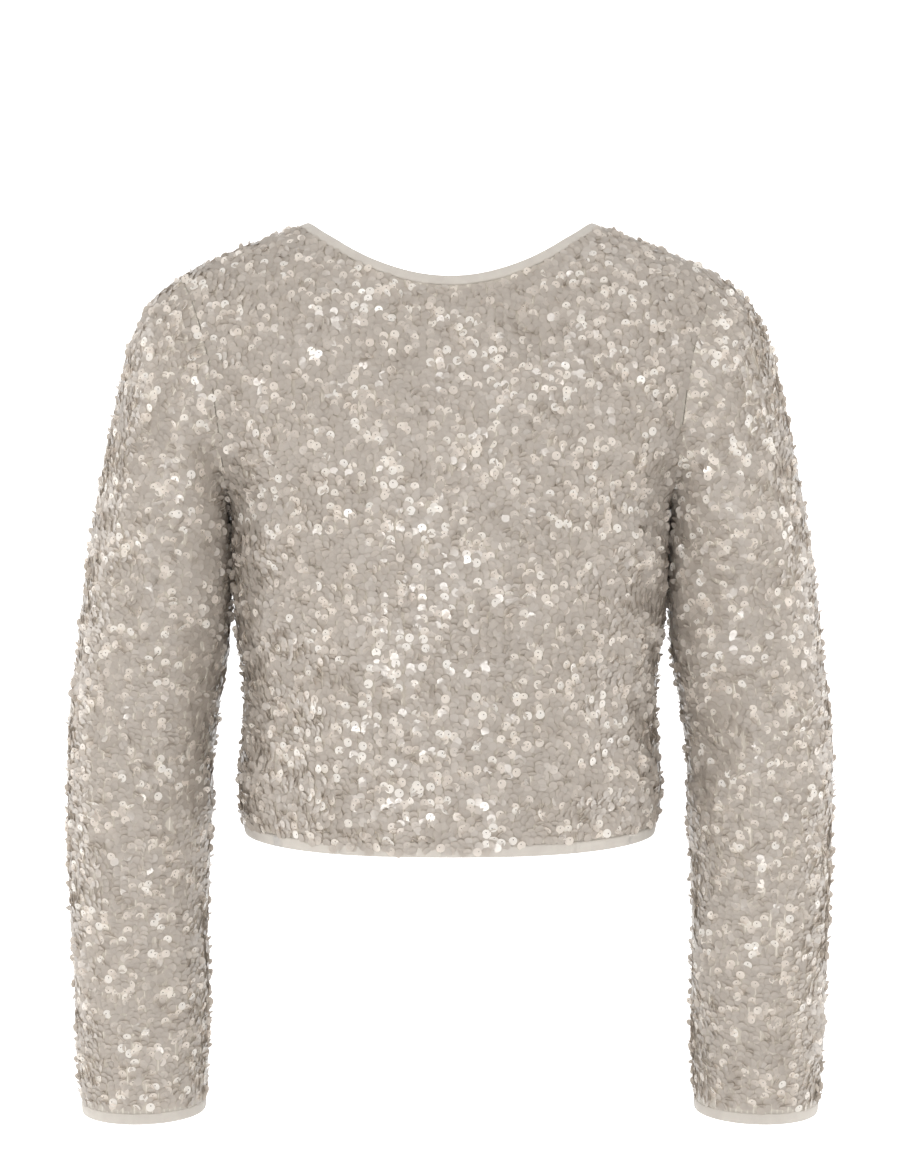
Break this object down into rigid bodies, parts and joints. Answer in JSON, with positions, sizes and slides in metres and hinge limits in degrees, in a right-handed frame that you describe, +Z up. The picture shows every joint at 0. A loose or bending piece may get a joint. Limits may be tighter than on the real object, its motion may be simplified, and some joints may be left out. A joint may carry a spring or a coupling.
{
  "type": "cropped long-sleeve top",
  "caption": "Cropped long-sleeve top in worn form, hollow, covered all over in small round sequins, with a plain narrow binding at neck, hem and cuffs.",
  "frame": {"origin": "midway between the two shoulder seams at the height of the neck points, where the wearer's shoulders hold it up", "axes": "+Z up, the front faces -Y, and the wearer's left sleeve is at +X"},
  "size_m": [0.532, 0.211, 0.6197],
  "materials": {
    "sequin_cloth": "stretch jersey covered in overlapping satin pearl sequins",
    "binding": "plain matt stretch binding"
  },
  "bodies": {
    "root": {"front": "sequin_cloth", "back": "sequin_cloth", "sleeve_left": "sequin_cloth", "sleeve_right": "sequin_cloth", "neck_binding": "binding", "hem_binding": "binding", "cuff_binding_left": "binding", "cuff_binding_right": "binding"}
  },
  "joints": []
}
